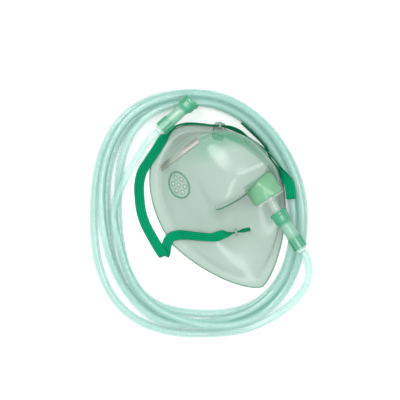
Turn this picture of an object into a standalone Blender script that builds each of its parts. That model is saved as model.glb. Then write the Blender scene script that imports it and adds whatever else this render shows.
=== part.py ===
"""Oxygen face mask with elastic head strap and coiled supply tubing, lying on a table.

Metres, +Z up. The mask lies rim down inside the oval coil of its tubing, with its crown
pressed over to one side. The origin is under the middle of the mask and its strap.
"""

import math

import bmesh
import bpy
import numpy as np
from mathutils import Matrix, Vector

MM = 0.001

# Clearances
TOUCH = 0.3 * MM          # between pieces that touch
SLOT_CLEARANCE = 0.6 * MM  # round the strap in its slots

# Layout: the coil's centre is the layout's zero, and the origin lies here in it
ORIGIN = Vector((9.797 * MM, 6.221 * MM, 0.0))
MASK_CENTRE = Vector((8.4 * MM, 3.5 * MM, 0.0)) - ORIGIN
MASK_TURN = math.radians(-53.6)   # direction from nose to chin

# Mask shell
SHELL_WALL = 1.1 * MM
SHELL_ROUND_COUNT = 60
SHELL_ROW_COUNT = 23

# Inlet collar, on the shell's step face
COLLAR_BORE = 20.0 * MM
COLLAR_WALL = 1.6 * MM
COLLAR_OUTER = COLLAR_BORE + 2 * COLLAR_WALL
COLLAR_ROOT = 2.0 * MM            # where the collar starts along its axis
COLLAR_MOUTH = 17.8 * MM
COLLAR_SIDE = 36.2 * MM           # sideways place of the axis at the collar's middle
COLLAR_HEIGHT = 23.5 * MM
COLLAR_YAW = math.radians(-4.0)
COLLAR_EDGE = 1.0 * MM

# Vents, one ring of holes in each cheek
VENT_OUTER = 20.0 * MM
VENT_RIB = 1.1 * MM
VENT_RISE = 0.9 * MM
VENT_HOLE = 3.2 * MM
VENT_HOLE_COUNT = 6
VENT_HOLE_CIRCLE = 11.0 * MM
LEFT_VENT_PLACE = (-26.5 * MM, -9.0 * MM)
RIGHT_VENT_TURN = math.radians(110)
RIGHT_VENT_LEVEL = 0.45

# Head strap
STRAP_WIDTH = 6.4 * MM
STRAP_THICKNESS = 0.9 * MM

# Ear tabs: upright loops that the strap runs through
TAB_THICKNESS = 1.8 * MM
TAB_WALL = 1.7 * MM
TONGUE_LENGTH = 13.0 * MM
TONGUE_WIDTH = 9.0 * MM
TONGUE_AIM = (-20.0 * MM, 14.0 * MM)   # place in the mask that the tongue points to
TONGUE_END = 2.6 * MM             # past the tab

# Nose clip
CLIP_LENGTH = 35.0 * MM
CLIP_WIDTH = 4.6 * MM
CLIP_THICKNESS = 0.7 * MM
CLIP_PLACE = -43.0 * MM           # from the mask's centre towards the nose
CLIP_SIDE = 4.0 * MM

# Tubing and its fittings
TUBE_OUTER = 6.2 * MM
FITTING_LENGTH = 32.0 * MM
FITTING_LIP = 12.8 * MM
FITTING_BARREL = 8.6 * MM
FITTING_SHOULDER = 11.0 * MM      # from the mouth to where the barrel starts
FITTING_GRIP = 10.2 * MM
FITTING_MOUTH_BORE = 7.0 * MM
FITTING_BORE_DEPTH = 20.0 * MM
FITTING_RIB_COUNT = 10
FITTING_RIB = 0.7 * MM
NIPPLE_OUTER = 6.4 * MM
NIPPLE_BORE = 4.2 * MM
NIPPLE_REACH = 14.0 * MM          # length inside the fitting's mouth
FITTING_GAP = 10.8 * MM           # bare nipple between collar and fitting

# Coil: inner and outer outlines are ovals with their own centres
COIL_OUTER_CENTRE = (0.6 * MM, 0.0 * MM)
COIL_OUTER_AXES = (76.0 * MM, 87.6 * MM)
COIL_OUTER_SQUARENESS = (1.8, 2.7, 2.6, 2.6)   # by quarter, anticlockwise from +X
COIL_HOLE_CENTRE = (5.6 * MM, 4.2 * MM)
COIL_HOLE_AXES = (58.1 * MM, 72.1 * MM)
COIL_HOLE_SQUARENESS = (1.62, 2.5, 3.0, 2.15)
COIL_HEIGHT = 12.6 * MM
COIL_STEPS = 72
COIL_CORNER = 4.0 * MM


def collection(name):
    made = bpy.data.collections.new(name)
    bpy.context.scene.collection.children.link(made)
    return made


def clear_scene():
    for obj in list(bpy.data.objects):
        bpy.data.objects.remove(obj, do_unlink=True)


def material(name, colour, roughness, metallic=0.0, alpha=1.0):
    made = bpy.data.materials.new(name)
    made.use_nodes = True
    shader = made.node_tree.nodes["Principled BSDF"]
    shader.inputs["Base Color"].default_value = (*colour, 1.0)
    shader.inputs["Roughness"].default_value = roughness
    shader.inputs["Metallic"].default_value = metallic
    shader.inputs["Alpha"].default_value = alpha
    return made


def mesh_object(name, points, faces, where):
    mesh = bpy.data.meshes.new(name)
    mesh.from_pydata([tuple(map(float, p)) for p in points], [], faces)
    mesh.validate()
    obj = bpy.data.objects.new(name, mesh)
    where.objects.link(obj)
    return obj


def finish(obj, finish_material, sharp_degrees=35):
    obj.data.materials.clear()
    obj.data.materials.append(finish_material)
    obj.data.shade_smooth()
    obj.data.set_sharp_from_angle(angle=math.radians(sharp_degrees))


def cylinder(name, diameter, length, place, axis, where, sides=48):
    """A closed cylinder centred on place, along axis."""
    mesh = bpy.data.meshes.new(name)
    shape = bmesh.new()
    bmesh.ops.create_cone(shape, cap_ends=True, segments=sides, radius1=diameter / 2,
                          radius2=diameter / 2, depth=length)
    turn = Vector(axis).to_track_quat("Z", "Y").to_matrix().to_4x4()
    bmesh.ops.transform(shape, matrix=Matrix.Translation(place) @ turn, verts=shape.verts)
    shape.to_mesh(mesh)
    shape.free()
    obj = bpy.data.objects.new(name, mesh)
    where.objects.link(obj)
    return obj


def box(name, size, place, turn, where):
    """A closed box of this size, turned by a 3 x 3 matrix, centred on place."""
    mesh = bpy.data.meshes.new(name)
    shape = bmesh.new()
    bmesh.ops.create_cube(shape, size=1.0)
    scale = Matrix.Diagonal((*size, 1.0))
    bmesh.ops.transform(shape, matrix=Matrix.Translation(place) @ turn.to_4x4() @ scale,
                        verts=shape.verts)
    shape.to_mesh(mesh)
    shape.free()
    obj = bpy.data.objects.new(name, mesh)
    where.objects.link(obj)
    return obj


def boolean(obj, other, operation):
    """Adds an exact Boolean with a helper, which is drawn as wire and not built."""
    step = obj.modifiers.new(f"{operation.lower()} {other.name}", "BOOLEAN")
    step.operation = operation
    step.solver = "EXACT"
    step.object = other
    other.hide_render = True
    other.display_type = "WIRE"
    return step


def turned(name, profile, sides, where):
    """A closed (radius, height) profile turned round Z; its outer side runs downwards."""
    points = [(radius, 0.0, height) for radius, height in profile]
    edges = [(i, (i + 1) % len(points)) for i in range(len(points))]
    mesh = bpy.data.meshes.new(name)
    mesh.from_pydata(points, edges, [])
    obj = bpy.data.objects.new(name, mesh)
    where.objects.link(obj)
    turn = obj.modifiers.new("turn", "SCREW")
    turn.steps = sides
    turn.render_steps = sides
    turn.use_merge_vertices = True
    turn.merge_threshold = 0.00001
    return obj


def smooth_route(points, step):
    """Rows about one step apart on a smooth curve through the route's own rows.

    A row starts with a place, and may hold more numbers, which follow the same curve: a
    cubic in each span, whose slopes come from the neighbouring rows.
    """
    rows = np.array([list(p) for p in points], float)
    spans = np.linalg.norm(np.diff(rows[:, :3], axis=0), axis=1)
    where = np.concatenate([[0], np.cumsum(spans)])
    slopes = np.gradient(rows, where, axis=0)
    found = []
    for i, span in enumerate(spans):
        count = max(2, round(float(span) / step))
        for j in range(count):
            t = j / count
            found.append((2 * t**3 - 3 * t**2 + 1) * rows[i]
                         + (t**3 - 2 * t**2 + t) * span * slopes[i]
                         + (3 * t**2 - 2 * t**3) * rows[i + 1]
                         + (t**3 - t**2) * span * slopes[i + 1])
    found.append(rows[-1])
    return found


def from_layout(x, y, z):
    """Millimetres from the coil's centre, as a place in the part's frame."""
    return Vector((x * MM, y * MM, z * MM)) - ORIGIN


# The shell is a B-spline loft through closed sections, from the rim up to the crown.
# Each section is drawn from its centre by four reaches (nose, chin, left, right) with a
# height for each, by how square its nose and chin halves are, and by how far its chin
# leans to the left. All in millimetres in the mask's own frame: u runs from nose to
# chin, v to the side that the crown leans to.
RIM_HEIGHT = SHELL_WALL / MM
SECTIONS = (
    # centre      reaches                   heights                     squareness    lean
    ((4, 9), (64, 61, 46, 44.5), (RIM_HEIGHT,) * 4, (2.0, 1.8, 1.35, 1.5), 13),
    ((4, 9), (62.4, 59.4, 44.4, 43), (RIM_HEIGHT,) * 4, (2.0, 1.8, 1.35, 1.5), 13),
    ((4, 9), (60.2, 57.2, 42.2, 41), (RIM_HEIGHT,) * 4, (2.0, 1.8, 1.37, 1.5), 12.5),
    ((4, 9), (57.8, 54.8, 40, 39), (RIM_HEIGHT,) * 4, (2.0, 1.8, 1.4, 1.5), 12),
    ((4, 9.5), (55.2, 51.5, 38, 38.2), (3.0, 2.2, 2.2, 4.0), (2.0, 1.9, 1.5, 1.7), 11),
    ((3, 12), (52, 47, 37, 38.5), (12, 5.0, 5.0, 12.5), (2.1, 2.0, 1.8, 1.85), 8),
    ((1, 16), (47.5, 36, 33.5, 36), (22, 7.0, 10, 19.8), (2.2, 2.2, 2.2, 1.92), 4),
    ((-1, 22), (42, 20, 32, 30.5), (30, 8.2, 18, 28.0), (2.3, 2.3, 2.4, 2.1), 0),
    ((-4, 27), (36, 10.8, 28, 24.5), (34.5, 10.5, 27, 32), (2.3, 2.3, 2.7, 2.1), 0),
    ((-6, 27.5), (31, 11.6, 24.5, 23), (37, 24, 33, 35), (2.3, 2.3, 3.0, 2.15), 0),
    ((-7, 27.5), (26.5, 11.8, 21.5, 21), (38.8, 36.5, 36.5, 37.3), (2.3, 2.3, 3.2, 2.3), 0),
    ((-7, 27.5), (20, 8.0, 16, 16.5), (39.8, 39, 38.8, 38.9), (2.3, 2.3, 2.6, 2.4), 0),
    ((-8, 27), (10, 4, 8, 9), (40.4, 40.2, 40.2, 40.2), (2.2, 2.2, 2.2, 2.2), 0),
    ((-8, 27), (0, 0, 0, 0), (40.6, 40.6, 40.6, 40.6), (2.0, 2.0, 2.0, 2.0), 0),
)


def section_points(section, turns):
    """One closed section at these angles: 0 points to the chin, a quarter turn to the right."""
    (centre_u, centre_v), reaches, heights, squareness, lean = section
    nose, chin, left, right = reaches
    along, across = np.cos(turns), np.sin(turns)
    to_chin, to_right = along > 0, across > 0
    power = np.select([to_chin & to_right, to_chin, to_right],
                      [squareness[3], squareness[2], squareness[1]], squareness[0])
    shape_u = np.sign(along) * np.abs(along) ** (2 / power)
    shape_v = np.sign(across) * np.abs(across) ** (2 / power)
    u = centre_u + np.where(to_chin, chin, nose) * shape_u
    v = centre_v + np.where(to_right, right, left) * shape_v
    v = v - lean * np.where(to_chin, along, 0) ** 2
    sideways = np.where(to_chin, np.abs(across) ** 2.8, across**2)
    height_along = np.where(to_chin, heights[1], heights[0]) * (1 - sideways)
    height_across = np.where(to_right, heights[3], heights[2]) * sideways
    return np.stack([u, v, height_along + height_across], axis=-1) * MM


def spline_weights(t, count):
    """Weights of a clamped cubic B-spline with this many control rows, t from 0 to 1."""
    knots = np.concatenate([[0] * 3, np.linspace(0, 1, count - 2), [1] * 3])
    t = min(max(t, 0.0), 1.0 - 1e-9)
    weights = ((knots[:-1] <= t) & (t < knots[1:])).astype(float)
    for degree in (1, 2, 3):
        size = len(knots) - degree - 1
        rise, fall = np.zeros(size), np.zeros(size)
        for i in range(size):
            below = knots[i + degree] - knots[i]
            above = knots[i + degree + 1] - knots[i + 1]
            rise[i] = (t - knots[i]) / below * weights[i] if below else 0.0
            fall[i] = (knots[i + degree + 1] - t) / above * weights[i + 1] if above else 0.0
        weights = rise + fall
    return weights


def shell_points(turns, t):
    """The shell's outer surface at height fraction t, in the mask's frame."""
    turns = np.atleast_1d(turns)
    rows = np.stack([section_points(section, turns) for section in SECTIONS])
    return np.tensordot(spline_weights(t, len(SECTIONS)), rows, axes=1)


def shell_at(state):
    """(place, outward normal) on the shell's outer surface at (turn, height fraction)."""
    nudge = 1e-4
    state = np.array(state)
    by_turn, by_level = (
        shell_points(*(state + step))[0] - shell_points(*(state - step))[0]
        for step in ([nudge, 0], [0, nudge])
    )
    normal = np.cross(by_turn, by_level)
    return shell_points(*state)[0], normal / np.linalg.norm(normal)


def shell_place(u, v):
    """(place, upward normal) on the shell's outer surface over (u, v)."""
    target = np.array([u, v])
    turns = np.linspace(0, 2 * math.pi, 181)
    levels = np.linspace(0, 1, 61)
    grid = np.stack([shell_points(turns, t) for t in levels])
    apart = np.linalg.norm(grid[..., :2] - target, axis=-1)
    row, column = np.unravel_index(apart.argmin(), apart.shape)
    state = np.array([turns[column], levels[row]])
    nudge = 1e-4
    for _ in range(12):
        here = shell_points(*state)[0][:2]
        by_turn = shell_points(state[0] + nudge, state[1])[0][:2] - here
        by_level = shell_points(state[0], state[1] + nudge)[0][:2] - here
        slope = np.stack([by_turn, by_level], axis=1) / nudge
        state = state + np.linalg.lstsq(slope, target - here, rcond=None)[0]
        state[1] = min(max(state[1], 0.001), 0.998)
    place, normal = shell_at(state)
    return place, normal if normal[2] > 0 else -normal


def build_shell(where, cutters, frame):
    """The thin outer wall, from rim to crown, with its wall to the inside."""
    turns = np.linspace(0, 2 * math.pi, SHELL_ROUND_COUNT, endpoint=False)
    levels = np.linspace(0, 1, SHELL_ROW_COUNT)
    points = np.concatenate([shell_points(turns, t) for t in levels[:-1]])
    crown = shell_points(0.0, 1.0)
    count = SHELL_ROUND_COUNT
    faces = []
    for row in range(SHELL_ROW_COUNT - 2):
        for i in range(count):
            j = (i + 1) % count
            low, high = row * count, (row + 1) * count
            faces.append((low + i, low + j, high + j, high + i))
    top = (SHELL_ROW_COUNT - 2) * count
    faces += [(top + i, top + (i + 1) % count, len(points)) for i in range(count)]
    shell = mesh_object("mask_shell", np.concatenate([points, crown]), faces, where)
    shell.parent = frame
    wall = shell.modifiers.new("wall", "SOLIDIFY")
    wall.thickness = SHELL_WALL
    wall.offset = -1.0
    wall.use_even_offset = False
    add_collar(shell, cutters, frame)
    add_vents(shell, cutters, frame)
    return shell


def collar_frame():
    """(point on the collar's axis where u is zero, direction towards the fitting)."""
    axis = Vector((math.cos(COLLAR_YAW), math.sin(COLLAR_YAW), 0.0))
    middle = Vector(((COLLAR_ROOT + COLLAR_MOUTH) / 2, COLLAR_SIDE, COLLAR_HEIGHT))
    return middle - axis * ((COLLAR_ROOT + COLLAR_MOUTH) / 2), axis


def add_collar(shell, cutters, frame):
    start, axis = collar_frame()
    length = COLLAR_MOUTH - COLLAR_ROOT
    body = cylinder("collar_body", COLLAR_OUTER, length,
                    start + axis * (COLLAR_ROOT + length / 2), axis, cutters)
    body.parent = frame
    edge = body.modifiers.new("mouth edge", "BEVEL")
    edge.width = COLLAR_EDGE
    edge.segments = 2
    edge.limit_method = "ANGLE"
    boolean(shell, body, "UNION")
    reach = length + COLLAR_OUTER / 2
    bore = cylinder("collar_bore", COLLAR_BORE, reach,
                    start + axis * (COLLAR_MOUTH + 1 * MM - reach / 2), axis, cutters)
    bore.parent = frame
    boolean(shell, bore, "DIFFERENCE")


def add_vents(shell, cutters, frame):
    """A raised ring on each cheek, with holes through the wall inside it."""
    places = (shell_place(*LEFT_VENT_PLACE), shell_at((RIGHT_VENT_TURN, RIGHT_VENT_LEVEL)))
    for number, (place, normal) in enumerate(places, 1):
        turn = Vector(normal).to_track_quat("Z", "Y").to_matrix().to_4x4()
        matrix = Matrix.Translation(place) @ turn
        outer, inner = VENT_OUTER / 2, VENT_OUTER / 2 - VENT_RIB
        low = -SHELL_WALL - 0.6 * MM
        ring = turned(f"vent_ring_{number}", ((inner, low), (inner, VENT_RISE),
                      (outer, VENT_RISE), (outer, low)), 32, cutters)
        ring.parent = frame
        ring.matrix_local = matrix
        boolean(shell, ring, "UNION")
        shape = bmesh.new()
        circle = [(0.0, 0.0)]
        for i in range(VENT_HOLE_COUNT):
            angle = 2 * math.pi * i / VENT_HOLE_COUNT
            circle.append((math.cos(angle), math.sin(angle)))
        for x, y in circle:
            centre = Vector((x, y, 0)) * VENT_HOLE_CIRCLE / 2
            bmesh.ops.create_cone(shape, cap_ends=True, segments=12, radius1=VENT_HOLE / 2,
                                  radius2=VENT_HOLE / 2, depth=8 * MM,
                                  matrix=Matrix.Translation(centre))
        mesh = bpy.data.meshes.new(f"vent_holes_{number}")
        shape.to_mesh(mesh)
        shape.free()
        holes = bpy.data.objects.new(mesh.name, mesh)
        cutters.objects.link(holes)
        holes.parent = frame
        holes.matrix_local = matrix
        boolean(shell, holes, "DIFFERENCE")


def build_clip(where, frame):
    """A thin strip bent over the nose, following the shell at a small clearance."""
    stations, lanes = 25, 3
    points = []
    for i in range(stations):
        v = CLIP_SIDE + CLIP_LENGTH * 0.92 * (i / (stations - 1) - 0.5)
        for j in range(lanes):
            u = CLIP_PLACE + CLIP_WIDTH * 0.8 * (j / (lanes - 1) - 0.5)
            place, normal = shell_place(u, v)
            points.append(place + normal * (TOUCH + CLIP_THICKNESS))
    faces = []
    for i in range(stations - 1):
        for j in range(lanes - 1):
            a = i * lanes + j
            faces.append((a, a + 1, a + lanes + 1, a + lanes))
    clip = mesh_object("nose_clip", points, faces, where)
    clip.parent = frame
    sheet = clip.modifiers.new("sheet", "SOLIDIFY")
    sheet.thickness = CLIP_THICKNESS
    sheet.offset = -1.0
    return clip


def build_adaptor(where, frame):
    """A stepped rigid plug: a cup that fills the collar's bore, and a bare nipple."""
    start, axis = collar_frame()
    plug = COLLAR_BORE / 2 - TOUCH
    nipple, bore = NIPPLE_OUTER / 2, NIPPLE_BORE / 2
    top = FITTING_GAP + NIPPLE_REACH
    depth = COLLAR_MOUTH - COLLAR_ROOT - 2 * MM
    wall, floor = 1.4 * MM, 1.6 * MM
    flange, rim = COLLAR_OUTER / 2 - 0.6 * MM, 1.2 * MM
    profile = (
        (bore, top), (nipple - 0.5 * MM, top), (nipple, top - 4 * MM), (nipple, 3 * MM),
        (nipple + 1 * MM, TOUCH + rim), (flange, TOUCH + rim), (flange, TOUCH),
        (plug, TOUCH), (plug, -depth), (plug - wall, -depth), (plug - wall, TOUCH + rim - floor),
        (bore, TOUCH + rim - floor),
    )
    adaptor = turned("inlet_adaptor", profile, 40, where)
    adaptor.parent = frame
    turn = axis.to_track_quat("Z", "Y").to_matrix().to_4x4()
    adaptor.matrix_local = Matrix.Translation(start + axis * COLLAR_MOUTH) @ turn
    return adaptor


def fitting_profile():
    """Half section of the tubing's end fitting, mouth upwards at height zero."""
    lip, barrel, grip = FITTING_LIP / 2, FITTING_BARREL / 2, FITTING_GRIP / 2
    bore, lumen = FITTING_MOUTH_BORE / 2, TUBE_OUTER / 2 - 1.1 * MM
    length = FITTING_LENGTH
    return (
        (lip - 1.2 * MM, 0), (lip - 0.4 * MM, -0.3 * MM), (lip, -1.0 * MM), (lip, -2.4 * MM),
        (lip - 0.6 * MM, -3.2 * MM), (lip - 0.7 * MM, -7.0 * MM), (barrel + 0.3 * MM, -9.2 * MM),
        (barrel, -FITTING_SHOULDER), (barrel, -0.58 * length), (grip - FITTING_RIB, -0.64 * length),
        (grip - FITTING_RIB, -length + 3 * MM), (grip - 1.4 * MM, -length + 0.8 * MM),
        (grip - 2.0 * MM, -length), (lumen, -length), (lumen, -FITTING_BORE_DEPTH - 1 * MM),
        (bore - 0.4 * MM, -FITTING_BORE_DEPTH), (bore, -6 * MM), (bore + 0.5 * MM, 0),
    )


def build_fitting(name, mouth, direction, where, cutters):
    """The soft moulded end fitting: its mouth at one place, its body along a direction."""
    fitting = turned(name, fitting_profile(), 32, where)
    direction = Vector(direction).normalized()
    turn = (-direction).to_track_quat("Z", "Y").to_matrix().to_4x4()
    fitting.matrix_world = Matrix.Translation(mouth) @ turn
    shape = bmesh.new()
    low, high = -FITTING_LENGTH + 2.2 * MM, -0.66 * FITTING_LENGTH
    middle_radius = FITTING_GRIP / 2 - FITTING_RIB
    for i in range(FITTING_RIB_COUNT):
        spin = Matrix.Rotation(2 * math.pi * i / FITTING_RIB_COUNT, 4, "Z")
        size = Matrix.Diagonal((2 * FITTING_RIB, 1.1 * MM, high - low, 1.0))
        place = Matrix.Translation((middle_radius, 0, (low + high) / 2))
        bmesh.ops.create_cube(shape, size=1.0, matrix=spin @ place @ size)
    mesh = bpy.data.meshes.new(f"{name}_ribs")
    shape.to_mesh(mesh)
    shape.free()
    ribs = bpy.data.objects.new(mesh.name, mesh)
    cutters.objects.link(ribs)
    ribs.matrix_world = fitting.matrix_world
    boolean(fitting, ribs, "UNION")
    return fitting


def build_tube(name, route, where):
    """A plain tubing stretch along a smooth route."""
    curve = bpy.data.curves.new(name, "CURVE")
    curve.dimensions = "3D"
    curve.bevel_depth = TUBE_OUTER / 2
    curve.bevel_resolution = 3
    curve.use_fill_caps = True
    spline = curve.splines.new("POLY")
    points = smooth_route(route, 2.2 * TUBE_OUTER)
    spline.points.add(len(points) - 1)
    for point, place in zip(spline.points, points):
        point.co = (*place[:3], 1.0)
    obj = bpy.data.objects.new(name, curve)
    where.objects.link(obj)
    return obj


def oval_point(centre, axes, squareness, angle):
    """A point of an oval whose four quarters are more or less square."""
    c, s = math.cos(angle), math.sin(angle)
    quarter = int(angle // (math.pi / 2)) % 4
    reach = (abs(c) ** squareness[quarter] + abs(s) ** squareness[quarter])
    reach = reach ** (-1 / squareness[quarter])
    return Vector((centre[0] + axes[0] * c * reach, centre[1] + axes[1] * s * reach, 0))


def build_coil(where):
    """The coil's outer shape: a ring between two ovals, with rounded edges."""
    points, faces = [], []
    corner, height = COIL_CORNER, COIL_HEIGHT
    for i in range(COIL_STEPS):
        angle = 2 * math.pi * i / COIL_STEPS
        outer = oval_point(COIL_OUTER_CENTRE, COIL_OUTER_AXES, COIL_OUTER_SQUARENESS, angle)
        inner = oval_point(COIL_HOLE_CENTRE, COIL_HOLE_AXES, COIL_HOLE_SQUARENESS, angle)
        across = (outer - inner).normalized()
        half = corner / 2
        profile = (
            (inner, half, 0), (inner, 0, half), (inner, 0, height - corner),
            (inner, 0.3 * corner, height - 0.3 * corner), (inner, corner, height),
            (outer, -corner, height), (outer, -0.3 * corner, height - 0.3 * corner),
            (outer, 0, height - corner), (outer, 0, half), (outer, -half, 0),
        )
        for edge, inward, level in profile:
            points.append(edge + across * inward + Vector((0, 0, level)) - ORIGIN)
    count = len(points) // COIL_STEPS
    for i in range(COIL_STEPS):
        j = (i + 1) % COIL_STEPS
        for k in range(count):
            m = (k + 1) % count
            faces.append((i * count + k, i * count + m, j * count + m, j * count + k))
    return mesh_object("tubing_coil", points, faces, where)


# The strap's route, from one cut end to the other: place from the coil's centre and the
# height of what it clears, in millimetres, what it lies on, and how the band is turned.
STRAP_ROUTE = (
    (35.0, -11.2, 1.8, "shell", "tilt"),
    (30.0, -12.2, 1.6, "shell", "tilt"),
    (25.2, -13.3, 1.4, "shell", "tab"),
    (20.0, -14.2, 1.4, "shell", "tilt"),
    (16.0, -14.8, 2.0, "shell", "lean"),
    (10.5, -15.6, 1.7, "shell", "flat"),
    (0.0, -15.4, 1.2, "shell", "flat"),
    (-9.0, -15.0, 0.7, "shell", "flat"),
    (-15.5, -15.8, 0.6, "shell", "flat"),
    (-21.5, -20.6, 1.7, "table", "flat"),
    (-24.8, -27.0, 0.3, "table", "flat"),
    (-26.6, -30.2, 0.2, "table", "flat"),
    (-27.0, -31.0, 1.0, "table", "fold"),
    (-27.4, -30.2, 1.8, "table", "flipped"),
    (-31.6, -23.4, 1.5, "table", "flipped"),
    (-36.4, -15.4, 0.2, "table", "flipped"),
    (-40.3, -8.4, 0.1, "table", "flipped"),
    (-42.9, 0.7, 0.1, "table", "flipped"),
    (-43.7, 10.5, 0.1, "table", "flipped"),
    (-43.2, 19.6, 0.1, "table", "flipped"),
    (-40.6, 28.4, 1.0, "table", "flipped"),
    (-36.0, 36.0, 1.8, "table", "flipped"),
    (-31.0, 43.4, 1.9, "table", "flipped"),
    (-27.0, 50.0, 1.9, "table", "flipped"),
    (-22.6, 56.2, 1.6, "table", "lean"),
    (-16.6, 60.6, 1.3, "table", "edge"),
    (-9.8, 62.4, 1.4, "table", "edge"),
    (-1.4, 62.2, 1.5, "table", "edge"),
    (7.0, 61.4, 1.5, "table", "edge"),
    (14.0, 61.0, 1.5, "table", "tab"),
    (21.0, 59.6, 1.3, "table", "tilt"),
    (27.0, 57.2, 0.8, "table", "tilt"),
    (33.4, 53.2, 0.3, "table", "edge"),
    (40.4, 48.4, 1.5, "table", "edge"),
    (46.3, 43.2, 4.5, "table", "edge"),
    (51.0, 38.2, 9.0, "table", "edge"),
    (55.0, 32.8, 12.8, "table", "edge"),
    (58.6, 26.4, 12.9, "table", "lean"),
    (61.6, 20.6, 13.6, "table", "flat"),
    (62.8, 15.4, 14.2, "table", "flat"),
    (63.2, 10.6, 14.2, "table", "flat"),
)
# Fittings and leads, in millimetres from the coil's centre
SUPPLY_MOUTH = (-4.9, 78.4, 19.1)
SUPPLY_REAR = (-28.7, 56.7, 17.6)
SUPPLY_LEAD = ((-39.5, 43.8, 16.4), (-44.6, 35.6, 16.1), (-49.0, 26.5, 16.1))
MASK_LEAD = ((74.0, -41.5, 20.4), (72.2, -50.5, 17.2), (66.4, -59.5, 16.2))

STRAP_BACK_COUNT = 6              # points of the route that the folded-back layer repeats
STRAP_LAYER = 1.6 * MM            # between the middles of the two layers
STRAP_TAIL = ((44.6, 48.4, 0.2), (36.8, 56.4, 0.2), (29.2, 63.6, 0.2))
STRAP_TILT = math.radians(20)     # of the band's width where the route says tilt


def strap_stations(frame_matrix):
    """(places, width directions) of the strap at its route's points."""
    to_mask = frame_matrix.inverted()
    turn = frame_matrix.to_3x3()
    upright = Vector((0, 0, 1))
    plan = [from_layout(x, y, 0) for x, y, _, _, _ in STRAP_ROUTE]
    places, sides = [], []
    for i, (_, _, height, seat, side) in enumerate(STRAP_ROUTE):
        along = (plan[min(i + 1, len(plan) - 1)] - plan[max(i - 1, 0)]).normalized()
        across = upright.cross(along)
        up, ground = upright, 0.0
        if seat == "shell":
            local = to_mask @ plan[i]
            place, normal = shell_place(local.x, local.y)
            ground = float(place[2])
            if side == "flat":
                up = (turn @ Vector(normal)).normalized()
                across = up.cross(along).normalized()
        half = STRAP_THICKNESS / 2 if side in ("flat", "flipped", "fold") else STRAP_WIDTH / 2
        places.append(plan[i] + upright * ground + up * (TOUCH + half + height * MM))
        tilted = upright * math.cos(STRAP_TILT) + across * math.sin(STRAP_TILT)
        turned_as = {"edge": upright, "tab": upright, "tilt": tilted, "flat": across,
                     "flipped": -across}
        sides.append(turned_as.get(side))
    for i, side in enumerate(sides):
        if side is None:
            sides[i] = (sides[i - 1] + sides[i + 1]).normalized()
    return places, sides


def add_folded_tail(places, sides):
    """Folds the strap back over its own end and lets the tail run free."""
    count = len(places)
    back = []
    for i in range(count - 1, count - 1 - STRAP_BACK_COUNT, -1):
        along = (places[min(i + 1, count - 1)] - places[i - 1]).normalized()
        layer = along.cross(sides[i]).normalized() * STRAP_LAYER
        if i == count - 1:
            back.append((places[i] + along * STRAP_LAYER / 2 + layer / 2, sides[i]))
        back.append((places[i] + layer, sides[i]))
    for x, y, height in STRAP_TAIL:
        level = (TOUCH + STRAP_WIDTH / 2) / MM + height
        back.append((from_layout(x, y, 0) + Vector((0, 0, level * MM)), Vector((0, 0, 1))))
    return places + [p for p, _ in back], sides + [s for _, s in back]


def build_strap(where, frame_matrix):
    """A flat band whose section is carried along the route, turned as the route says."""
    places, sides = add_folded_tail(*strap_stations(frame_matrix))
    rows = smooth_route([(*p, *s) for p, s in zip(places, sides)], 3 * MM)
    rows = np.array(rows)
    middle, side = rows[:, :3], rows[:, 3:]
    along = np.gradient(middle, axis=0)
    along /= np.linalg.norm(along, axis=1, keepdims=True)
    side = side - along * np.sum(side * along, axis=1, keepdims=True)
    side /= np.linalg.norm(side, axis=1, keepdims=True)
    face = np.cross(along, side)
    half_width, half_thick = side * STRAP_WIDTH / 2, face * STRAP_THICKNESS / 2
    corners = np.stack([middle + half_width + half_thick, middle - half_width + half_thick,
                        middle - half_width - half_thick, middle + half_width - half_thick], 1)
    last = len(middle) - 1
    faces = [(3, 2, 1, 0), (4 * last, 4 * last + 1, 4 * last + 2, 4 * last + 3)]
    for i in range(last):
        for k in range(4):
            m = (k + 1) % 4
            faces.append((4 * i + k, 4 * i + m, 4 * i + 4 + m, 4 * i + 4 + k))
    return mesh_object("head_strap", corners.reshape(-1, 3), faces, where)


def add_tab(shell, cutters, name, place, along, foot):
    """An upright loop on the shell with a slot that the strap runs through."""
    along = Vector((along.x, along.y, 0)).normalized()
    across = Vector((0, 0, 1)).cross(along)
    turn = Matrix((along, across, Vector((0, 0, 1)))).transposed()
    slot_width = STRAP_THICKNESS + 2 * SLOT_CLEARANCE
    slot_height = STRAP_WIDTH + 2 * SLOT_CLEARANCE
    top = place.z + slot_height / 2 + TAB_WALL
    size = (TAB_THICKNESS, slot_width + 2 * TAB_WALL, top - foot)
    middle = Vector((place.x, place.y, (top + foot) / 2))
    plate = box(f"{name}_plate", size, middle, turn, cutters)
    edge = plate.modifiers.new("edge", "BEVEL")
    edge.width = 0.35 * MM
    edge.segments = 1
    boolean(shell, plate, "UNION")
    slot = box(f"{name}_slot", (4 * TAB_THICKNESS, slot_width, slot_height), place, turn, cutters)
    boolean(shell, slot, "DIFFERENCE")


def add_tongue(shell, cutters, place, frame_matrix):
    """A flat tongue that carries the right ear tab outside the rim."""
    inward = frame_matrix @ Vector((*TONGUE_AIM, 0)) - place
    inward = Vector((inward.x, inward.y, 0)).normalized()
    turn = Matrix((inward, Vector((0, 0, 1)).cross(inward), Vector((0, 0, 1)))).transposed()
    size = (TONGUE_LENGTH, TONGUE_WIDTH, RIM_HEIGHT * MM)
    middle = Vector((place.x, place.y, RIM_HEIGHT * MM / 2))
    middle += inward * (TONGUE_LENGTH / 2 - TONGUE_END)
    tongue = box("tab_tongue", size, middle, turn, cutters)
    boolean(shell, tongue, "UNION")


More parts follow.
